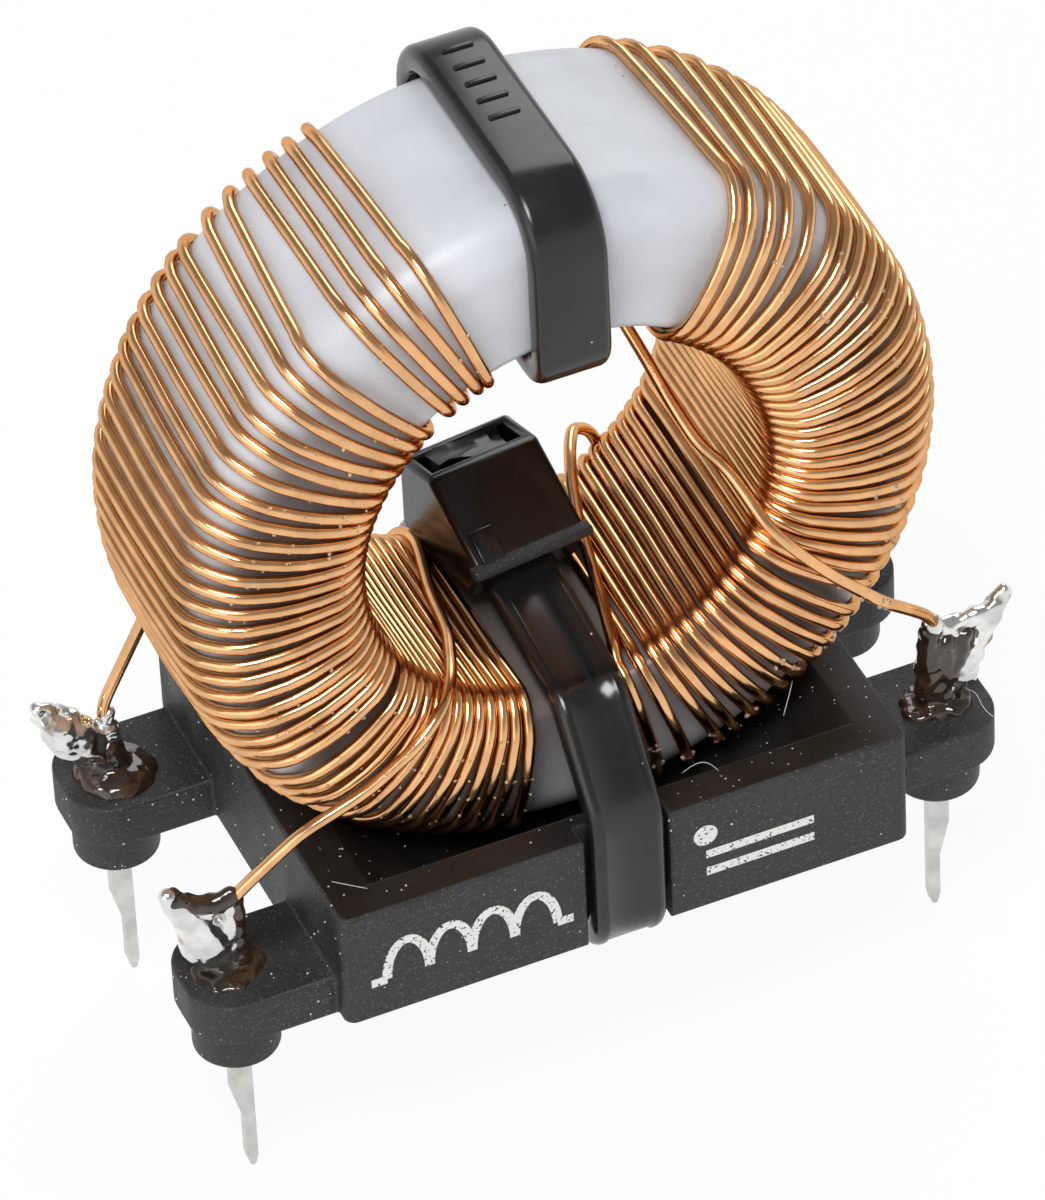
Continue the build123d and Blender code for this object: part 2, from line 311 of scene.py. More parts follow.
ink = bmesh.new()
hump_steps = 16
coil_left = coil_middle - coil_humps * coil_hump
coil_right = coil_middle + coil_humps * coil_hump
for hump in range(coil_humps):
    centre = coil_left + (2 * hump + 1) * coil_hump
    bearings = [pi - pi * step / hump_steps for step in range(hump_steps + 1)]
    curve = [(centre + coil_hump * cos(b), mark_height + coil_rise * sin(b)) for b in bearings]
    add_band(ink, curve, ink_width, 1 + hump % 2)
for start, end in ((coil_left - coil_tail, coil_left), (coil_right, coil_right + coil_tail)):
    add_band(ink, [(start, mark_height), (end, mark_height)], ink_width, 3)
bar_ends = (bar_middle - bar_length / 2, bar_middle + bar_length / 2)
for rise in bar_rises:
    add_band(ink, [(end, mark_height + rise) for end in bar_ends], ink_width, 1)
dot_steps = 24
dot_centre = (bar_ends[0], mark_height + dot_rise)
ink.faces.new([
    ink.verts.new((dot_centre[0] + dot_radius * cos(2 * pi * k / dot_steps), base_front - ink_proud,
                   dot_centre[1] + dot_radius * sin(2 * pi * k / dot_steps)))
    for k in range(dot_steps)
])
bmesh.ops.recalc_face_normals(ink, faces=ink.faces)
ink_mesh = bpy.data.meshes.new("printed_marks")
ink.to_mesh(ink_mesh)
ink.free()
add_piece("printed_marks", ink_mesh, "black_moulding", ink_finish)

# Pins
# Flat terminals stamped from tinned strip and pressed into the arms. The strip is cut away on its
# outer side below the standoff, and its end is nipped to a chisel.
tin_grey = (0.62, 0.62, 0.60, 1)
pin_edge = 0.045 * mm
pin_half_width = 0.37 * mm
pin_thickness = 0.42 * mm
pin_foot_outer = 0.02 * mm
pin_shoulder_start = 2.1 * mm
pin_shoulder_end = 3.5 * mm
pin_nip = 0.45 * mm
pin_tip_share = 0.7
pin_post = 5.2 * mm
pin_rows = {
    "front_left": (-1, Vector((-12.7, -5.08, 0)) * mm),
    "rear_left": (-1, Vector((-12.7, 5.08, 0)) * mm),
    "front_right": (1, Vector((12.7, -3.81, 0)) * mm),
    "rear_right": (1, Vector((12.7, 3.81, 0)) * mm),
}
tin_finish, *_ = grained_finish(
    "tinned strip", tin_grey, 0.35, shades=(0.85, 1.15), grain=2.2, tone=1.2, bump=0.25,
    rough_range=(0.28, 0.45), metallic=1.0)


def join_rows(form, here, there):
    """Joins two matching rings of corners with a face between each pair of sides."""
    for k in range(len(here)):
        after = (k + 1) % len(here)
        form.faces.new((here[k], there[k], there[after], here[after]))


def close_prism(form, near, far):
    """Closes two matching rings of corners into a solid with flat ends."""
    form.faces.new(near)
    form.faces.new(far[::-1])
    join_rows(form, near, far)
    bmesh.ops.recalc_face_normals(form, faces=form.faces)


def smooth_mesh(form, name):
    """Turns a finished form into a mesh that is smooth all over."""
    mesh = bpy.data.meshes.new(name)
    form.to_mesh(mesh)
    form.free()
    mesh.shade_smooth()
    return mesh


for corner, (side, seat) in pin_rows.items():
    node = corner + "_pin"
    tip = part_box(node)[0].z
    outline = [
        (-pin_half_width, pin_post),
        (-pin_half_width, tip + pin_nip),
        (-pin_half_width * pin_tip_share, tip),
        (pin_foot_outer - pin_half_width * (1 - pin_tip_share), tip),
        (pin_foot_outer, tip + pin_nip),
        (pin_foot_outer, -pin_shoulder_end),
        (pin_half_width, -pin_shoulder_start),
        (pin_half_width, pin_post),
    ]
    form = bmesh.new()
    sheets = [[form.verts.new((seat.x + side * u, seat.y + face * pin_thickness / 2, z)) for u, z in outline]
              for face in (-1, 1)]
    close_prism(form, *sheets)
    ease_edges(form, list(form.edges), pin_edge, steps=2)
    name = corner + "_terminal"
    pin = add_piece(name, smooth_mesh(form, name), "tinned_pin", tin_finish)
    weight_normals(pin)
    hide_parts(node)

# Core
# A ferrite ring in a pale grey epoxy coat. The coat is sprayed on, so it has a slight orange peel
# and runs thicker in places. Under the closest turns it is painted brown, partly as a varnish stain
# and partly as painted shade between the wires, and its foot is darkened with painted shade.
core_low, core_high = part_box("coated_core")
core_middle = (core_low + core_high) / 2
core_outer = (core_high.x - core_low.x) / 2
core_half = (core_high.y - core_low.y) / 2
core_inner = 7.4 * mm
core_outer_corner = 1.6 * mm
core_inner_corner = 0.5 * mm
core_steps = 200
corner_steps = 8
coat_grey = (0.56, 0.58, 0.62, 1)
scuff_grey = (0.16, 0.15, 0.13, 1)
# Brown painted under the closest turns: partly a varnish stain, partly painted shade between the wires. The
# painted shade at the foot uses this brown too.
stain_and_shade_brown = (0.085, 0.05, 0.03, 1)
stain_and_shade_share = 0.85
stain_and_shade_start = (radians(35), radians(85))
stain_and_shade_end = (radians(128), radians(160))
stain_and_shade_reach = (10.6 * mm, 12.4 * mm)
# Painted shade on the ring's foot: how dark it is, and the radii over which it fades out.
foot_shade_share = 0.8
foot_shade_reach = (7.5 * mm, 14.0 * mm)
coat_runs = 0.035 * mm
coat_run_spacing = 4.0 * mm

coat_finish, tree, shader, tone = grained_finish(
    "grey epoxy coat", coat_grey, 0.36, shades=(0.93, 1.06), grain=1.1, tone=0.35, bump=0.10,
    rough_range=(0.30, 0.42))
place = add_node(tree, "ShaderNodeTexCoord").outputs["Object"]
ways = add_node(tree, "ShaderNodeSeparateXYZ", [("Vector", place)])
rise = maths(tree, "SUBTRACT", ways.outputs["Z"], core_middle.z)
turn = maths(tree, "ABSOLUTE", maths(tree, "ARCTAN2", ways.outputs["X"], rise))
flat = add_node(tree, "ShaderNodeCombineXYZ", [("X", ways.outputs["X"]), ("Z", rise)])
reach = add_node(tree, "ShaderNodeVectorMath", [(0, flat.outputs[0])], operation="LENGTH").outputs["Value"]
soft = {"interpolation_type": "SMOOTHSTEP"}
# The coat under the middle turns is painted brown, partly a varnish stain and partly painted shade between
# the wires.
soaked_and_shaded = remap(tree, turn, *stain_and_shade_start, 0.0, stain_and_shade_share, **soft)
soaked_and_shaded = maths(tree, "MULTIPLY", soaked_and_shaded, remap(tree, reach, *stain_and_shade_reach, 1.0, 0.0, **soft))
soaked_and_shaded = maths(tree, "MULTIPLY", soaked_and_shaded, remap(tree, turn, *stain_and_shade_end, 1.0, 0.0, **soft))
# Painted shade on the ring's foot, darkest at the edge of the hole.
painted_foot_shade = maths(tree, "MULTIPLY", remap(tree, turn, *stain_and_shade_end, 0.0, foot_shade_share, **soft),
               remap(tree, reach, *foot_shade_reach, 1.0, 0.0, **soft))
stained_and_shaded = paint_over(tree, shader, tone, maths(tree, "MAXIMUM", soaked_and_shaded, painted_foot_shade), stain_and_shade_brown)
add_specks(tree, shader, stained_and_shaded, cells=1.6, amount=0.03, size=0.07, colour=scuff_grey)

# Corner centres of the ring's section, in the order a turn of wire meets them: inner back, inner
# front, outer front, outer back. Each arc starts at its own bearing from the radial direction.
section_corners = (
    (core_inner + core_inner_corner, core_half - core_inner_corner, core_inner_corner, 90),
    (core_inner + core_inner_corner, core_inner_corner - core_half, core_inner_corner, 180),
    (core_outer - core_outer_corner, core_outer_corner - core_half, core_outer_corner, 270),
    (core_outer - core_outer_corner, core_half - core_outer_corner, core_outer_corner, 0),
)


def section_arc(number, lift, steps):
    """Places (radius, depth) round one corner of the ring's section, lifted off the coat."""
    radius, depth, corner, start = section_corners[number]
    bearings = [radians(start + 90 * k / steps) for k in range(steps + 1)]
    return [(radius + (corner + lift) * cos(b), depth + (corner + lift) * sin(b)) for b in bearings]


def ring_point(side, radius, depth, angle):
    """A place by its distance from the ring's axis, its depth, and its angle from the top in degrees."""
    turn = radians(angle)
    return core_middle + Vector((side * radius * sin(turn), depth, radius * cos(turn)))


form = bmesh.new()
section = [place for number in range(4) for place in section_arc(number, 0, corner_steps)]
middle_radius = (core_outer + core_inner) / 2
hoops = []
for step in range(core_steps):
    hoop = []
    for radius, depth in section:
        place = ring_point(1, radius, depth, 360 * step / core_steps)
        lump = noise.noise(place / coat_run_spacing) * coat_runs
        outward = place - ring_point(1, middle_radius, 0, 360 * step / core_steps)
        hoop.append(form.verts.new(place + outward.normalized() * lump))
    hoops.append(hoop)
for here, there in zip(hoops, hoops[1:] + hoops[:1]):
    join_rows(form, here, there)
bmesh.ops.recalc_face_normals(form, faces=form.faces)
core = add_piece("ring_core", smooth_mesh(form, "ring_core"), "grey_coating", coat_finish)
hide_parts("coated_core")

# Windings
# Two coils of enamelled copper wire, wound by hand round the two halves of the ring. The turns lie
# packed in the hole and spread on the outside, and both ends of each wire run to a pin.
wire_radius = 0.206 * mm
wire_gap = 0.012 * mm
wire_bow = 0.5 * mm
turns = 40
tube_sides = 12
bend_steps = 8
run_steps = 4
lead_spacing = 0.22 * mm
first_layer = wire_radius + wire_gap
second_layer = first_layer + 2 * wire_radius
crossing = core_half + second_layer + wire_radius / 2
copper = (0.84, 0.47, 0.22, 1)
copper_edge = (0.72, 0.46, 0.26, 1)
outer_wander = 0.5
inner_wander = 0.1
run_wander = 0.03 * mm
wander_spacing = 3.0 * mm
wander_seed = 4
# Vector noise starts from the clock unless it is seeded.
noise.seed_set(wander_seed)
# How far the stiff wire bows off each face, as (outward, along the axis): hole, front, outside, back.
face_bows = ((0, 0), (0, -0.40 * mm), (0.08 * mm, 0), (0, 0.30 * mm))
bow_shape = 1.4
bow_range = (0.85, 1.15)
angle_passes = 4

copper_finish, *_ = grained_finish(
    "enamelled copper", copper, 0.16, shades=(0.82, 1.08), grain=3.0, tone=0.9, bump=0.08,
    rough_range=(0.11, 0.21), metallic=1.0, coat_weight=0.3, coat_roughness=0.14, specular_tint=copper_edge)


def station_angle(stations, turn):
    """The angle of a turn from given (turn, angle) stations, in straight steps between them."""
    for (t0, a0), (t1, a1) in zip(stations, stations[1:]):
        if turn <= t1:
            return a0 + (a1 - a0) * (turn - t0) / (t1 - t0)
    return stations[-1][1]


def soften(row, passes):
    """A row of places or numbers with each one drawn to its neighbours, but for the two ends."""
    for _ in range(passes):
        row = row[:1] + [(a + 2 * b + c) / 4 for a, b, c in zip(row, row[1:], row[2:])] + row[-1:]
    return row


def soft_line(places, passes):
    """A wire's line through places, bent softly at each."""
    line = [places[0]]
    for here, there in zip(places, places[1:]):
        count = max(1, ceil((there - here).length / lead_spacing))
        line += [here.lerp(there, step / count) for step in range(1, count + 1)]
    return soften(line, passes)


def wire_arc(number, lift):
    """Places (radius, depth) of a wire's bend round one corner, bowed off the sharp edges of the hole."""
    arc = section_arc(number, lift, bend_steps)
    if number > 1:
        return arc
    middle = arc[bend_steps // 2]
    grow = 1 + wire_bow / (core_inner_corner + lift)
    return [(middle[0] + (r - middle[0]) * grow, middle[1] + (d - middle[1]) * grow) for r, d in arc]


def corner_path(side, number, lift, angle):
    """A wire's way round one corner of the ring's section at one angle."""
    return [ring_point(side, radius, depth, angle) for radius, depth in wire_arc(number, lift)]


def wind(side, seed, stations, count):
    """The line of a winding without its leads: its turns, each a little out of step with the next."""
    draw = random.Random(seed)
    outer_back, outer_front, inner_front, inner_lag = stations
    loop = []
    for number in range(4):
        arc = wire_arc(number, first_layer)
        ahead = wire_arc((number + 1) % 4, first_layer)[0]
        loop += arc
        loop += [(arc[-1][0] + (ahead[0] - arc[-1][0]) * step / run_steps,
                  arc[-1][1] + (ahead[1] - arc[-1][1]) * step / run_steps) for step in range(1, run_steps)]
    spacing = len(loop) // 4
    keys = []
    for turn in range(count):
        front = station_angle(inner_front, turn) + draw.uniform(-inner_wander, inner_wander)
        keys += [
            front - inner_lag,
            front,
            station_angle(outer_front, turn) + draw.uniform(-outer_wander, outer_wander),
            station_angle(outer_back, turn) + draw.uniform(-outer_wander, outer_wander),
        ]
    middles = [bend_steps // 2 + spacing * number for number in range(len(keys))]
    places = (loop * count)[middles[0]:middles[-1] + 1]
    angles = []
    bowed = []
    for number in range(len(keys) - 1):
        stretch = [places[k - middles[0]] for k in range(middles[number], middles[number + 1] + 1)]
        steps = [sqrt((b[0] - a[0]) ** 2 + (b[1] - a[1]) ** 2) for a, b in zip(stretch, stretch[1:])]
        slack = draw.uniform(*bow_range)
        gone = 0
        for (radius, depth), step in zip(stretch, steps):
            share = gone / sum(steps)
            swell = slack * sin(pi * share) ** bow_shape
            angles.append(keys[number] + (keys[number + 1] - keys[number]) * share)
            outward, along = face_bows[number % 4]
            bowed.append((radius + outward * swell, depth + along * swell))
            gone += step
    angles = soften(angles + [keys[-1]], angle_passes)
    bowed.append(places[-1])
    line = [ring_point(side, radius, depth, angle) for (radius, depth), angle in zip(bowed, angles)]
    return [place + noise.noise_vector(place / wander_spacing) * run_wander for place in line]


def wire_tube(name, line, radius, sides):
    """A round wire along a line, with its ends closed."""
    form = bmesh.new()
    run = (line[1] - line[0]).normalized()
    across = run.cross(Vector((0, 0, 1))).normalized()
    bearings = [2 * pi * k / sides for k in range(sides)]
    rings = []
    for number, place in enumerate(line):
        before, after = line[max(number - 1, 0)], line[min(number + 1, len(line) - 1)]
        run = (after - before).normalized()
        across = (across - run * across.dot(run)).normalized()
        other = run.cross(across)
        rings.append([form.verts.new(place + (across * cos(b) + other * sin(b)) * radius) for b in bearings])
    for here, there in zip(rings, rings[1:]):
        for k in range(sides):
            after = (k + 1) % sides
            form.faces.new((here[k], here[after], there[after], there[k]))
    form.faces.new(rings[0][::-1])
    form.faces.new(rings[-1])
    return smooth_mesh(form, name)


def part_place(x, y, z):
    """A place by its millimetres in the part's frame."""
    return Vector((x, y, z)) * mm


def ring_places(side, rows):
    """Places by (radius, depth, angle) rows in millimetres and degrees."""
    return [ring_point(side, radius * mm, depth * mm, angle) for radius, depth, angle in rows]


# Stations of each winding: outer back, outer front, inner front, and how far the inner back lags.
left_stations = (
    ((0, 22.5), (5, 40.8), (6, 46.2), (39, 168.0)),
    ((0, 20.9), (3, 32.9), (4, 40.3), (10, 64.1), (26, 119.5), (27, 125.5), (39, 167.0)),
    ((0, 20.7), (1, 23.6), (3, 32.0), (4, 39.8), (10, 63.8), (26, 119.0), (27, 124.8), (39, 165.0)),
    1.8,
)
right_stations = (
    ((0, 23.1), (1, 27.9), (2, 34.1), (4, 44.6), (39, 166.0)),
    ((0, 29.0), (1, 31.9), (4, 43.1), (5, 48.3), (27, 122.9), (28, 128.5), (36, 153.2), (37, 156.2),
     (38, 162.0), (39, 167.5)),
    ((0, 29.0), (5, 48.8), (9, 62.6), (27, 119.6), (28, 124.6), (29, 128.6), (37, 158.6), (38, 163.1),
     (39, 167.5)),
    1.8,
)
# Places on the leads' way through the hole and over the front. The last turn on the right hangs
# slack in the hole before it comes to the front.
left_lead = (
    (6.5, 0.5, 152.5), (6.3, -2.0, 147.0), (6.55, -4.2, 139.5), (7.1, -5.3, 135.5), (8.4, -5.85, 133.3),
    (10.6, -5.85, 131.5), (13.1, -5.75, 127.8),
)
right_lead = (
    (13.4, -5.1, 124.2), (11.9, -5.75, 122.3), (9.4, -5.95, 118.0), (7.6, -5.75, 112.5), (6.65, -5.2, 108.0),
    (6.1, -4.2, 101.5), (5.7, -3.4, 95.5), (5.1, -2.8, 90.5), (4.8, -1.65, 77.5), (4.9, -0.1, 61.5),
    (6.0, 2.6, 34.0), (7.1, 4.95, 19.0),
)
slack_places = (
    (8.8, 5.3, 143), (7.0, 5.0, 139), (6.3, 4.9, 141), (6.0, 3.9, 145), (6.0, 2.8, 150), (6.15, 1.4, 155),
    (6.5, -1.6, 162), (6.9, -3.6, 166.5),
)
left_line = (
    soft_line([
        part_place(-12.75, 5.05, 4.9),
        part_place(-12.8, 5.2, 5.9),
        ring_point(-1, 13.7 * mm, crossing, 124.7),
        ring_point(-1, 8.9 * mm, crossing, 16.0),
        corner_path(-1, 0, first_layer, 18.9)[0],
        corner_path(-1, 0, first_layer, 18.9)[3],
    ], passes=6)
    + wind(side=-1, seed=7, stations=left_stations, count=turns)
    + soft_line([
        ring_point(-1, 10.6 * mm, crossing, 167.0),
        *corner_path(-1, 0, second_layer, 161.0)[::4],
        *ring_places(-1, left_lead),
        part_place(-12.2, -5.4, 6.75),
        part_place(-12.65, -5.3, 6.2),
    ], passes=10)
)
slack_turn = soft_line([
    ring_point(1, 10.4 * mm, crossing, 152),
    *ring_places(1, slack_places),
    *corner_path(1, 1, first_layer, 167.8)[::4],
    *corner_path(1, 2, first_layer, 167.5)[::4],
    *corner_path(1, 3, first_layer, 166.0)[::4],
], passes=4)
right_line = (
    soft_line([
        part_place(12.6, -4.0, 6.9),
        part_place(12.35, -4.2, 7.45),
        *ring_places(1, right_lead),
        ring_point(1, 8.9 * mm, crossing, 18.0),
        ring_point(1, 9.2 * mm, crossing, 23.0),
        corner_path(1, 0, first_layer, 26.5)[0],
        corner_path(1, 0, first_layer, 26.5)[3],
    ], passes=8)
    + wind(side=1, seed=11, stations=right_stations, count=turns - 1)
    + slack_turn
    + soft_line([
        ring_point(1, 11.4 * mm, crossing, 160.0),
        ring_point(1, 13.4 * mm, crossing, 132.0),
        part_place(12.8, 4.2, 5.9),
        part_place(12.75, 3.9, 4.9),
    ], passes=6)
)
for name, line in (("left_winding", left_line), ("right_winding", right_line)):
    mesh = wire_tube(name + "_wire", line, wire_radius, tube_sides)
    winding = add_piece(name + "_wire", mesh, "enamelled_copper", copper_finish)
    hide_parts(name)

# Varnish
# A thin dip of clear varnish holds the turns. It dried into small amber crumbs and drops that sit
# between the wires on the front of both windings.
varnish_amber = (0.95, 0.80, 0.58, 1)
crumb_spread = 0.12 * mm
crumb_seat = 0.75 * wire_radius
crumb_flat_share = 0.7
crumb_lump_share = 0.45
crumb_lumps = 1.3
varnish_finish, *_ = grained_finish(
    "amber varnish", varnish_amber, 0.1, shades=(0.7, 1.05), grain=4.0, tone=1.0, bump=0.3,
    rough_range=(0.06, 0.2), transmission_weight=0.7, ior=1.5)


def add_crumb(form, place, size, seed):
    """Adds one lumpy crumb to a form."""
    drawn = bmesh.ops.create_icosphere(form, subdivisions=1, radius=size)["verts"]
    for vertex in drawn:
        lump = 1 + crumb_lump_share * noise.noise(vertex.co / size * crumb_lumps + Vector((seed, 0, 0)))
        vertex.co = place + Vector((vertex.co.x, vertex.co.y * crumb_flat_share, vertex.co.z)) * lump


# Each side's crumbs: seed, how many, in how many spots, their sizes, and how far out they lie.
crumb_rows = (
    ("left_varnish", left_line, 3, 340, 340, (0.03 * mm, 0.075 * mm), (8.2 * mm, 12.0 * mm)),
    ("right_varnish", right_line, 5, 240, 50, (0.04 * mm, 0.11 * mm), (10.0 * mm, 12.1 * mm)),
)
for name, line, seed, count, spot_count, sizes, reaches in crumb_rows:
    draw = random.Random(seed)
    fronts = []
    for place in line:
        reach = Vector((place.x - core_middle.x, place.z - core_middle.z)).length
        if place.y < core_outer_corner - core_half and reaches[0] < reach < reaches[1]:
            fronts.append(place)
    spots = draw.choices(fronts, k=spot_count)
    form = bmesh.new()
    for number in range(count):
        place = spots[number % spot_count]
        flat_way = Vector((place.x - core_middle.x, 0, place.z - core_middle.z)).normalized()
        outward = (place - core_middle - flat_way * middle_radius).normalized()
        along = outward.cross(flat_way).normalized()
        spot = place + outward * crumb_seat + along * draw.uniform(-1, 1) * wire_radius
        spot -= flat_way * draw.random() * crumb_spread
        add_crumb(form, spot, draw.uniform(*sizes), number)
    add_piece(name, smooth_mesh(form, name), "enamelled_copper", varnish_finish)

# Ring tie
# A black nylon cable tie pulled tight round the top of the ring, to keep the two windings apart.
# Its strap is moulded with round edges and a row of raised ticks, and its head sits at the back.
strap_width = 2.5 * mm
strap_thickness = 1.0 * mm
strap_round = 0.34 * mm
strap_bend_steps = 10
tie_gap = 0.04 * mm
tick_size = Vector((1.05, 0.2, 0.16)) * mm
tick_places = (3.1 * mm, 2.2 * mm, 1.3 * mm, 0.4 * mm, -0.5 * mm)
tick_edge = 0.05 * mm
nylon_black = (0.010, 0.010, 0.0105, 1)
nylon_finish, tree, shader, tone = grained_finish(
    "black nylon", nylon_black, 0.2, shades=(0.8, 1.2), grain=0.9, tone=0.5, bump=0.06,
    rough_range=(0.14, 0.26))
add_specks(tree, shader, tone, cells=2.2, amount=0.07, size=0.12, colour=dust_white)


def rounded_route(places, radii, steps, closed):
    """A flat route of (y, z) places with its corners turned into arcs of their radii."""
    route = []
    count = len(places)
    for number, (place, radius) in enumerate(zip(places, radii)):
        here = Vector(place)
        if not closed and number in (0, count - 1):
            route.append(here)
            continue
        back = (Vector(places[number - 1]) - here).normalized()
        ahead = (Vector(places[(number + 1) % count]) - here).normalized()
        half = back.angle(ahead) / 2
        if half > radians(89):
            route.append(here)
            continue
        centre = here + (back + ahead).normalized() * radius / sin(half)
        start = here + back * radius * cos(half) / sin(half) - centre
        end = here + ahead * radius * cos(half) / sin(half) - centre
        swing = -start.angle_signed(end)
        for step in range(steps + 1):
            turn = swing * step / steps
            route.append(centre + Vector((start.x * cos(turn) - start.y * sin(turn),
                                          start.x * sin(turn) + start.y * cos(turn))))
    return route


def strap_section(width, thickness, round_off, rail, recess):
    """A strap's section as (across, out) places, round at its edges, with a rail along each edge."""
    steps = 5
    places = []
    for across, out, start in ((1, 1, 0), (-1, 1, 90), (-1, -1, 180), (1, -1, 270)):
        if start == 90 and recess:
            inner = width / 2 - rail
            places += [(inner, thickness / 2), (inner - recess, thickness / 2 - recess),
                       (recess - inner, thickness / 2 - recess), (-inner, thickness / 2)]
        for step in range(steps + 1):
            turn = radians(start + 90 * step / steps)
            places.append((across * (width / 2 - round_off) + round_off * cos(turn),
                           out * (thickness / 2 - round_off) + round_off * sin(turn)))
    return places


def sweep_strap(form, route, section, closed):
    """Adds a strap to a form: the section carried along a route in the middle plane."""
    count = len(route)
    rings = []
    for number, place in enumerate(route):
        before = route[number - 1] if closed or number else place
        after = route[(number + 1) % count] if closed or number + 1 < count else place
        run = (after - before).normalized()
        out = Vector((-run.y, run.x))
        rings.append([form.verts.new((across, place.x + out.x * rise, place.y + out.y * rise))
                      for across, rise in section])
    pairs = list(zip(rings, rings[1:])) + ([(rings[-1], rings[0])] if closed else [])
    for here, there in pairs:
        for k in range(len(section)):
            after = (k + 1) % len(section)
            form.faces.new((here[k], here[after], there[after], there[k]))
    if not closed:
        form.faces.new(rings[0][::-1])
        form.faces.new(rings[-1])


def form_mesh(form, name, sharp):
    """Turns a finished form into a mesh that is smooth but for edges over an angle in degrees."""
    bmesh.ops.recalc_face_normals(form, faces=form.faces)
    mesh = smooth_mesh(form, name)
    mesh.set_sharp_from_angle(angle=radians(sharp))
    return mesh


def add_nylon(name, form, sharp, material=nylon_finish):
    """A piece of a tie from its finished form."""
    return add_piece(name, form_mesh(form, name, sharp), "black_nylon", material)


def add_box(name, size, ease, place, material=nylon_finish):
    """A small moulded box with round edges, put in place."""
    form = bmesh.new()
    bmesh.ops.create_cube(form, size=1, matrix=Matrix.Diagonal((*size, 1)))
    ease_edges(form, list(form.edges), ease)
    bmesh.ops.transform(form, matrix=place, verts=form.verts)
    return add_nylon(name, form, 50, material)


hole_seat = sqrt(core_inner ** 2 - (strap_width / 2) ** 2)
ring_low = core_middle.z + hole_seat - tie_gap - strap_thickness / 2
ring_high = core_middle.z + core_outer + tie_gap + strap_thickness / 2
ring_reach = core_half + tie_gap + strap_thickness / 2
ring_corners = (core_inner_corner, core_outer_corner, core_outer_corner, core_inner_corner)
ring_route = rounded_route(
    [(-ring_reach, ring_low), (-ring_reach, ring_high), (ring_reach, ring_high), (ring_reach, ring_low)],
    [corner + strap_thickness / 2 for corner in ring_corners], strap_bend_steps, True)
form = bmesh.new()
sweep_strap(form, ring_route, strap_section(strap_width, strap_thickness, strap_round, 0, 0), True)
ring_strap = add_nylon("ring_tie_strap", form, 60)
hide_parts("ring_tie")
for number, tick_y in enumerate(tick_places):
    centre = Vector((0, tick_y, ring_high + strap_thickness / 2))
    add_box(f"ring_tie_tick_{number}", tick_size, tick_edge, Matrix.Translation(centre))

head_width = 4.05 * mm
head_length = 4.9 * mm
head_lip = 1.7 * mm
head_chin = 0.75 * head_lip
head_top = 3.4 * mm
head_end = 2.9 * mm
head_top_y = 0.59 * head_length
head_edge = 0.2 * mm
head_undercut = 0.6 * mm
frame_width = 0.6 * mm
slot_depth = 0.7 * mm


def add_head(name, place):
    """A tie head along +Y from its lip at the origin, with its floor at zero, put in place."""
    profile = [(head_undercut, 0), (0, head_chin), (0, head_lip), (head_top_y, head_top),
               (head_length, head_end), (head_length, 0)]
    form = bmesh.new()
    sides = [[form.verts.new((s * head_width / 2, y, z)) for y, z in profile] for s in (-1, 1)]
    close_prism(form, *sides)
    slot_face = max(form.faces, key=lambda face: face.calc_center_median().z)
    bmesh.ops.inset_individual(form, faces=[slot_face], thickness=frame_width)
    slot_floor = bmesh.ops.extrude_discrete_faces(form, faces=[slot_face])["faces"][0]
    for vertex in slot_floor.verts:
        vertex.co.z -= slot_depth
    edges = [e for e in form.edges if e.calc_face_angle(0) > radians(18)]
    ease_edges(form, edges, head_edge)
    bmesh.ops.transform(form, matrix=place, verts=form.verts)
    weight_normals(add_nylon(name, form, 60))


ring_head_drop = 2.2 * mm
ring_head_place = Matrix.Translation(
    (0, core_half + tie_gap, core_middle.z + hole_seat - ring_head_drop + head_length)
) @ Matrix.Rotation(radians(-90), 4, "X")
add_head("ring_tie_head", ring_head_place)

# Base tie
# A second tie that straps the ring down into the base. Its head stands in the ring's hole, and its
# strap has raised edges and runs down notches in both walls. The cut tail shows in the head's slot.
base_head_front = -0.2 * mm
base_head_yaw = radians(6.5)
strap_rail = 0.42 * mm
strap_recess = 0.07 * mm
crest_y = core_half + tie_gap + strap_thickness / 2
crest_z = core_middle.z - hole_seat + tie_gap + strap_thickness / 2
head_floor = crest_z + strap_thickness / 2
wall_y = 7.6 * mm
shoulder_z = base_top + strap_thickness / 2
under_z = base_bottom - strap_thickness / 2 - tie_gap
strap_bend = 1.6 * mm
base_route = rounded_route([
    (base_head_front + head_undercut + strap_thickness, head_floor + strap_thickness / 2),
    (-crest_y, crest_z),
    (-wall_y, shoulder_z),
    (-wall_y, under_z),
    (wall_y, under_z),
    (wall_y, shoulder_z),
    (crest_y, crest_z),
    (base_head_front + head_top_y, crest_z),
], [strap_bend] * 8, strap_bend_steps, False)
form = bmesh.new()
# The route runs the other way round the ring here, so the section's outer side is turned over.
base_section = [(across, -rise) for across, rise in
                strap_section(strap_width, strap_thickness, strap_round, strap_rail, strap_recess)]
sweep_strap(form, base_route, base_section, False)
base_strap = add_nylon("base_tie_strap", form, 60)
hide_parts("base_tie")

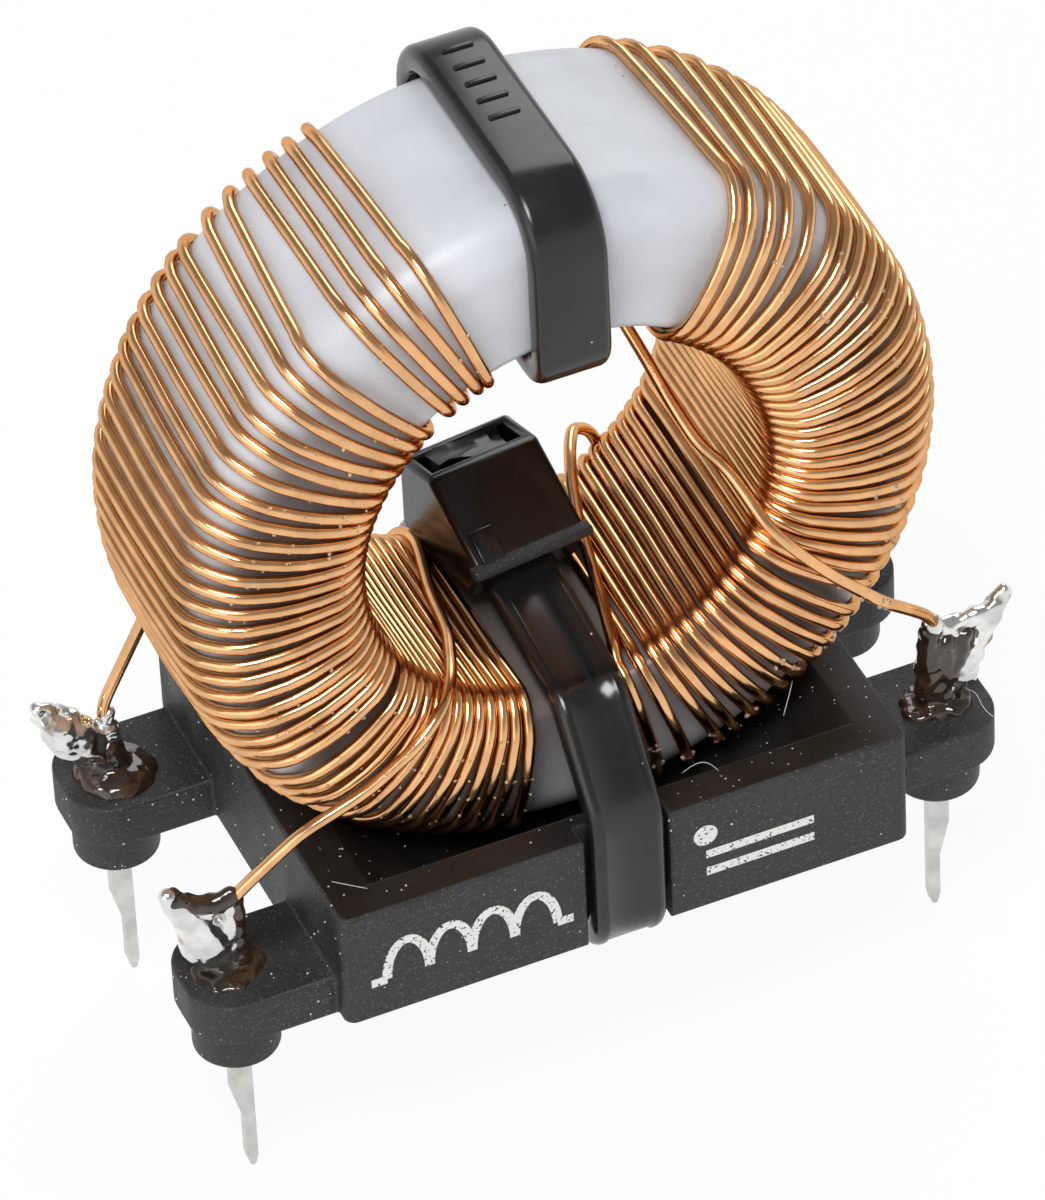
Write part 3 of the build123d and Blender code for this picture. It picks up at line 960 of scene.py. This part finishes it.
head_middle = Vector((0, base_head_front + head_length / 2, head_floor))
base_head_turn = Matrix.Translation(head_middle) @ Matrix.Rotation(base_head_yaw, 4, "Z")
base_head_place = base_head_turn @ Matrix.Translation((0, -head_length / 2, 0))
add_head("base_tie_head", base_head_place)
lip_size = Vector((4.35, 0.5, 0.36)) * mm
lip_edge = 0.1 * mm
lip_centre = Vector((0, -0.05, 1.58)) * mm
add_box("base_tie_lip", lip_size, lip_edge, base_head_place @ Matrix.Translation(lip_centre), mould_finish)
ramp_turn = Matrix.Rotation((head_top - head_lip) / head_top_y, 4, "X")
badge_size = Vector((0.85, 1.15, 0.2)) * mm
badge_edge = 0.06 * mm
badge_centre = Vector((-1.3, 0.55, 2.02)) * mm
badge_place = base_head_place @ Matrix.Translation(badge_centre) @ ramp_turn
add_box("base_tie_badge", badge_size, badge_edge, badge_place)
tail_size = Vector((2.5, 0.95, 0.9)) * mm
tail_centre = Vector((-0.1, 3.85, 2.7)) * mm
tail_twist_per_mm = 0.28
tail_crease_spacing = 0.55 * mm
tail_crease = 0.14 * mm
form = bmesh.new()
bmesh.ops.create_cube(form, size=1, matrix=Matrix.Diagonal((*tail_size, 1)))
bmesh.ops.subdivide_edges(form, edges=form.edges, cuts=5, use_grid_fill=True)
for vertex in form.verts:
    twist = Matrix.Rotation(vertex.co.x / mm * tail_twist_per_mm, 3, "X")
    vertex.co = twist @ vertex.co + noise.noise_vector(vertex.co / tail_crease_spacing) * tail_crease
bmesh.ops.transform(form, matrix=base_head_place @ Matrix.Translation(tail_centre), verts=form.verts)
add_nylon("base_tie_tail", form, 24)

# Solder joints
# Tin solder that fills each pin's fork and runs out along the horn. It set as smooth lumps, duller
# where flux skinned over it.
solder_silver = (0.80, 0.80, 0.78, 1)
flux_tint = (0.30, 0.20, 0.09, 1)
flux_skin = (0.58, 0.66)
flux_skin_tone = 0.8
solder_finish, tree, shader, tone = grained_finish(
    "solder", solder_silver, 0.14, shades=(0.75, 1.1), grain=1.4, tone=1.3, bump=0.7,
    rough_range=(0.06, 0.26), metallic=1.0)
grain = add_node(tree, "ShaderNodeGroup", [("Tone per mm", flux_skin_tone)], node_tree=surface_grain)
paint_over(tree, shader, tone, remap(tree, grain.outputs["Tone"], *flux_skin, 0.0, 1.0), flux_tint)

# Runs of each joint: out along the arm, across it, up from the seat, and size, all in millimetres.
solder_runs = {
    "front_left": (
        ((0.35, 0, 3.6, 0.5), (0.7, 0, 4.3, 0.78), (0.85, 0, 4.75, 0.86), (1.05, 0, 5.4, 0.68),
         (1.45, 0, 6.15, 0.5), (1.8, 0, 6.8, 0.4), (1.95, 0, 7.1, 0.3)),
        ((0.0, -0.1, 3.5, 0.42), (0.0, -0.1, 5.0, 0.4), (-0.05, -0.15, 6.4, 0.32)),
        ((1.4, 0, 6.2, 0.32), (0.6, -0.05, 6.05, 0.34), (0, -0.15, 6.35, 0.3)),
    ),
    "rear_left": (
        ((0.2, 0, 4.0, 0.55), (0.8, 0, 4.75, 0.74), (1.25, 0, 5.3, 0.82), (1.7, 0, 5.95, 0.64),
         (2.0, 0, 6.4, 0.46), (2.25, 0, 6.75, 0.28)),
        ((0.0, 0, 4.2, 0.5), (0.0, 0.05, 5.0, 0.42), (0.0, 0.05, 5.6, 0.3)),
    ),
    "front_right": (
        ((0.0, 0, 3.5, 0.5), (-0.1, 0, 4.6, 0.44), (-0.12, -0.05, 5.6, 0.4), (-0.15, -0.15, 6.8, 0.34)),
        ((0.35, 0, 3.9, 0.5), (0.95, -0.1, 4.2, 0.5), (1.3, 0, 5.0, 0.5), (1.75, 0, 5.9, 0.46),
         (2.25, 0, 6.65, 0.4), (2.55, 0, 7.05, 0.28)),
        ((0.4, 0, 4.7, 0.45), (0.6, 0, 5.5, 0.45), (0.7, 0, 6.15, 0.36)),
        ((-0.1, -0.1, 6.5, 0.3), (0.8, 0, 6.35, 0.32), (1.7, 0, 6.45, 0.36)),
    ),
    "rear_right": (
        ((0.1, 0, 3.7, 0.5), (0.5, 0, 4.6, 0.66), (1.1, 0, 5.3, 0.7), (1.7, 0, 6.0, 0.55),
         (2.3, 0, 6.75, 0.3)),
        ((0.0, 0, 4.4, 0.5), (0.0, 0.1, 5.4, 0.42), (0.05, 0.2, 6.0, 0.3)),
    ),
}
run_fill = 8
solder_fineness = 0.07
lump_passes = 6
crumple_spacing = 0.42


def lump_mesh(name, balls, fineness, crumple):
    """One crumpled skin over balls, given as (x, y, z, radius, height share) in millimetres."""
    form = bmesh.new()
    for x, y, z, radius, height in balls:
        bmesh.ops.create_icosphere(form, subdivisions=2, radius=radius, matrix=Matrix.LocRotScale(
            Vector((x, y, z)), None, Vector((1, 1, height))))
    rough = bpy.data.meshes.new(name)
    form.to_mesh(rough)
    form.free()
    holder = new_object(name, rough)
    skin_step = holder.modifiers.new("skin", "REMESH")
    skin_step.mode = "VOXEL"
    skin_step.voxel_size = fineness
    smooth_step = holder.modifiers.new("smooth", "SMOOTH")
    smooth_step.factor = 0.5
    smooth_step.iterations = lump_passes
    bpy.context.view_layer.update()
    mesh = bpy.data.meshes.new_from_object(holder.evaluated_get(bpy.context.evaluated_depsgraph_get()))
    bpy.data.objects.remove(holder)
    for vertex, way in zip(mesh.vertices, [Vector(v.normal) for v in mesh.vertices]):
        vertex.co += way * crumple * noise.noise(vertex.co / crumple_spacing)
    mesh.transform(Matrix.Scale(mm, 4))
    mesh.shade_smooth()
    return mesh


def run_balls(corner, runs):
    """The balls of a joint's runs, filled in closely along each."""
    side, seat = pin_rows[corner]
    balls = []
    for run in runs:
        for here, there in zip(run, run[1:]):
            for step in range(run_fill + 1):
                u, v, z, radius = [a + (b - a) * step / run_fill for a, b in zip(here, there)]
                balls.append((seat.x / mm + side * u, seat.y / mm + v, z, radius, 1))
    return balls


solder_crumples = {"front_left": 0.03, "rear_left": 0.16, "front_right": 0.12, "rear_right": 0.1}
for corner, runs in solder_runs.items():
    name = corner + "_solder_lump"
    mesh = lump_mesh(name, run_balls(corner, runs), solder_fineness, solder_crumples[corner])
    joint = add_piece(name, mesh, "solder", solder_finish)
    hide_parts(corner + "_solder")

# Flux
# Brown resin left by the soldering. It pooled in glossy domes on the arms round the pins, and it
# climbed the pins' posts as a dark skin.
flux_brown = (0.022, 0.012, 0.006, 1)
arm_top = 3.3
flux_fineness = 0.06
flux_finish, *_ = grained_finish(
    "brown flux", flux_brown, 0.09, shades=(0.6, 2.2), grain=1.0, tone=1.0, bump=0.3,
    rough_range=(0.05, 0.16), coat_weight=0.6, coat_roughness=0.04)
# Pools: out along the arm, across it, size and height share. Climbs are runs, as for the solder.
flux_pools = {
    "front_left": ((0.25, -0.15, 1.15, 0.2), (-0.4, 0.0, 0.8, 0.18)),
    "rear_left": ((-0.1, -0.25, 1.4, 0.42), (-0.6, -0.35, 0.9, 0.5), (0.5, 0.1, 0.8, 0.4)),
    "front_right": ((-0.2, 0.0, 1.0, 0.36), (-0.7, -0.25, 0.6, 0.4), (0.4, -0.3, 0.8, 0.4)),
    "rear_right": ((0.0, 0.0, 1.0, 0.3),),
}
flux_climbs = {
    "front_left": (((1.75, 0.0, 6.9, 0.36), (1.1, -0.06, 6.4, 0.36), (0.4, -0.12, 6.2, 0.38),
                    (-0.1, -0.2, 6.45, 0.34)),
                   ((-0.22, -0.12, 3.5, 0.4), (-0.2, -0.12, 5.0, 0.36), (-0.15, -0.16, 6.3, 0.34))),
    "rear_left": (((0.0, -0.1, 3.5, 0.7), (0.1, -0.1, 4.3, 0.6)),),
    "front_right": (((-0.18, -0.06, 3.4, 0.56), (-0.22, -0.06, 4.6, 0.5), (-0.2, -0.1, 5.8, 0.45),
                     (-0.2, -0.15, 6.5, 0.36)),
                    ((0.1, -0.14, 3.8, 0.5), (0.3, -0.14, 4.8, 0.52), (0.35, -0.14, 5.8, 0.45)),
                    ((0.3, -0.1, 4.4, 0.5), (0.75, -0.1, 5.2, 0.46), (0.95, -0.08, 5.9, 0.4))),
    "rear_right": (((0.0, 0.0, 3.5, 0.55), (0.0, 0.05, 4.4, 0.52)),),
}
flux_crumples = {"front_left": 0.1, "rear_left": 0.04, "front_right": 0.12, "rear_right": 0.05}
for corner, (side, seat) in pin_rows.items():
    balls = [(seat.x / mm + side * u, seat.y / mm + v, arm_top, radius, height)
             for u, v, radius, height in flux_pools[corner]]
    balls += run_balls(corner, flux_climbs[corner])
    name = corner + "_flux"
    add_piece(name, lump_mesh(name, balls, flux_fineness, flux_crumples[corner]), "solder", flux_finish)

# Dust and lint
# Pale dust that the moulding's static holds, thickest on the left wall and arms, and a few hairs of
# lint on the rim.
dust_count = 260
dust_sizes = (0.018 * mm, 0.045 * mm)
dusty_end = -8 * mm
dusty_end_weight = 3.0
dusty_tilt = 0.5
dusty_front_tilt = 0.9
hair_radius = 0.013 * mm
hair_sides = 5
dust_finish, *_ = finish("pale dust", dust_white, 0.8)
draw = random.Random(21)
base_mesh.calc_loop_triangles()
patches = []
for triangle in base_mesh.loop_triangles:
    middle = sum((base_mesh.vertices[v].co for v in triangle.vertices), Vector()) / 3
    way = triangle.normal
    if way.z > dusty_tilt or way.x < -dusty_tilt or way.y < -dusty_front_tilt:
        weight = dusty_end_weight if middle.x < dusty_end else 1.0
        patches.append((triangle, triangle.area * weight))
form = bmesh.new()
for triangle, _ in draw.choices(patches, [w for _, w in patches], k=dust_count):
    a, b, c = (base_mesh.vertices[v].co for v in triangle.vertices)
    p, q = draw.random(), draw.random()
    if p + q > 1:
        p, q = 1 - p, 1 - q
    bmesh.ops.create_icosphere(form, subdivisions=1, radius=draw.uniform(*dust_sizes),
                               matrix=Matrix.Translation(a + (b - a) * p + (c - a) * q))
add_piece("base_dust", form_mesh(form, "base_dust", 180), "black_moulding", dust_finish)
hairs = (
    ((13.6, -3.9, 3.5), (13.9, -4.6, 3.9), (13.7, -5.2, 3.6), (14.0, -5.5, 3.4)),
    ((2.6, -6.3, 6.3), (3.0, -6.6, 6.9), (3.5, -6.4, 6.6), (3.7, -6.7, 6.3)),
    ((6.6, -5.4, 6.4), (7.1, -5.0, 7.2), (7.3, -4.6, 7.0)),
    ((-9.4, -5.9, 6.25), (-9.0, -6.6, 6.5), (-8.5, -6.7, 6.25)),
)
for number, hair in enumerate(hairs):
    name = f"lint_{number}"
    line = soft_line([part_place(*place) for place in hair], passes=8)
    add_piece(name, wire_tube(name, line, hair_radius, hair_sides), "black_moulding", dust_finish)

# Stage
# A plain white table under even studio light, seen from above and a little to the left. Three
# softboxes give the wire its glints, and the room's own glow fades upwards.
floor_white = (0.9, 0.9, 0.9, 1)
floor_half = 1.2
floor_bright_share = 0.93
floor_mesh = bpy.data.meshes.new("floor")
floor_z = cad_box[0][2]
floor_corners = [(x * floor_half, y * floor_half, floor_z) for x, y in ((-1, -1), (1, -1), (1, 1), (-1, 1))]
floor_mesh.from_pydata(floor_corners, [], [(0, 1, 2, 3)])
floor = new_object("floor", floor_mesh)
floor_material = bpy.data.materials.new("white table")
floor_material.use_nodes = True
tree = floor_material.node_tree
tree.nodes.clear()
path = add_node(tree, "ShaderNodeLightPath")
shadowed = add_node(tree, "ShaderNodeBsdfDiffuse", [("Color", floor_white)])
bright = add_node(tree, "ShaderNodeEmission", [("Color", (1, 1, 1, 1)), ("Strength", 1.0)])
seen = maths(tree, "MAXIMUM", path.outputs["Is Camera Ray"], path.outputs["Is Glossy Ray"])
seen = maths(tree, "MAXIMUM", seen, path.outputs["Is Transmission Ray"])
mixed = add_node(tree, "ShaderNodeMixShader", [("Fac", maths(tree, "MULTIPLY", seen, floor_bright_share)),
                                               (1, shadowed.outputs[0]), (2, bright.outputs[0])])
add_node(tree, "ShaderNodeOutputMaterial", [("Surface", mixed.outputs[0])])
floor_mesh.materials.append(floor_material)

glow_heights = (0.1, 0.62)
glow_strengths = (0.95, 0.31)
world = bpy.data.worlds.new("studio")
bpy.context.scene.world = world
world.use_nodes = True
tree = world.node_tree
direction = add_node(tree, "ShaderNodeTexCoord").outputs["Generated"]
height = add_node(tree, "ShaderNodeSeparateXYZ", [("Vector", direction)]).outputs["Z"]
glow = remap(tree, height, *glow_heights, *glow_strengths, **soft)
tree.links.new(glow, tree.nodes["Background"].inputs["Strength"])
tree.nodes["Background"].inputs["Color"].default_value = (1, 1, 1, 1)

# Softboxes: direction from the object, distance, size, and power in watts.
softboxes = {
    "key": ((-0.31, -0.39, 0.86), 0.34, 0.12, 0.75),
    "back": ((0.42, 0.60, 0.66), 0.40, 0.2, 0.36),
    "left": ((-0.82, -0.42, 0.40), 0.36, 0.26, 0.24),
}
for name, (direction, distance, size, power) in softboxes.items():
    lamp = bpy.data.lights.new(name, "AREA")
    lamp.shape = "SQUARE"
    lamp.size = size
    lamp.energy = power
    holder = new_object(name, lamp)
    towards = Vector(direction).normalized()
    holder.location = core_middle + towards * distance
    holder.rotation_euler = towards.to_track_quat("Z", "Y").to_euler()

view_azimuth = radians(-21.9)
view_elevation = radians(42.162)
view_roll = radians(-2.984)
eye = Vector((-90.995, -226.275, 230.539)) * mm
back = Vector((sin(view_azimuth) * cos(view_elevation), -cos(view_azimuth) * cos(view_elevation),
               sin(view_elevation)))
level = Vector((cos(view_azimuth), sin(view_azimuth), 0))
upright = back.cross(level)
right = level * cos(view_roll) + upright * sin(view_roll)
up = upright * cos(view_roll) - level * sin(view_roll)
camera_data = bpy.data.cameras.new("camera")
camera_data.sensor_width = 36
camera_data.lens = 307.92
camera_data.clip_start = 0.01
camera = new_object("camera", camera_data)
camera.matrix_world = Matrix((right, up, back)).transposed().to_4x4()
camera.location = eye
bpy.context.scene.camera = camera
bpy.context.scene.view_settings.view_transform = "Standard"
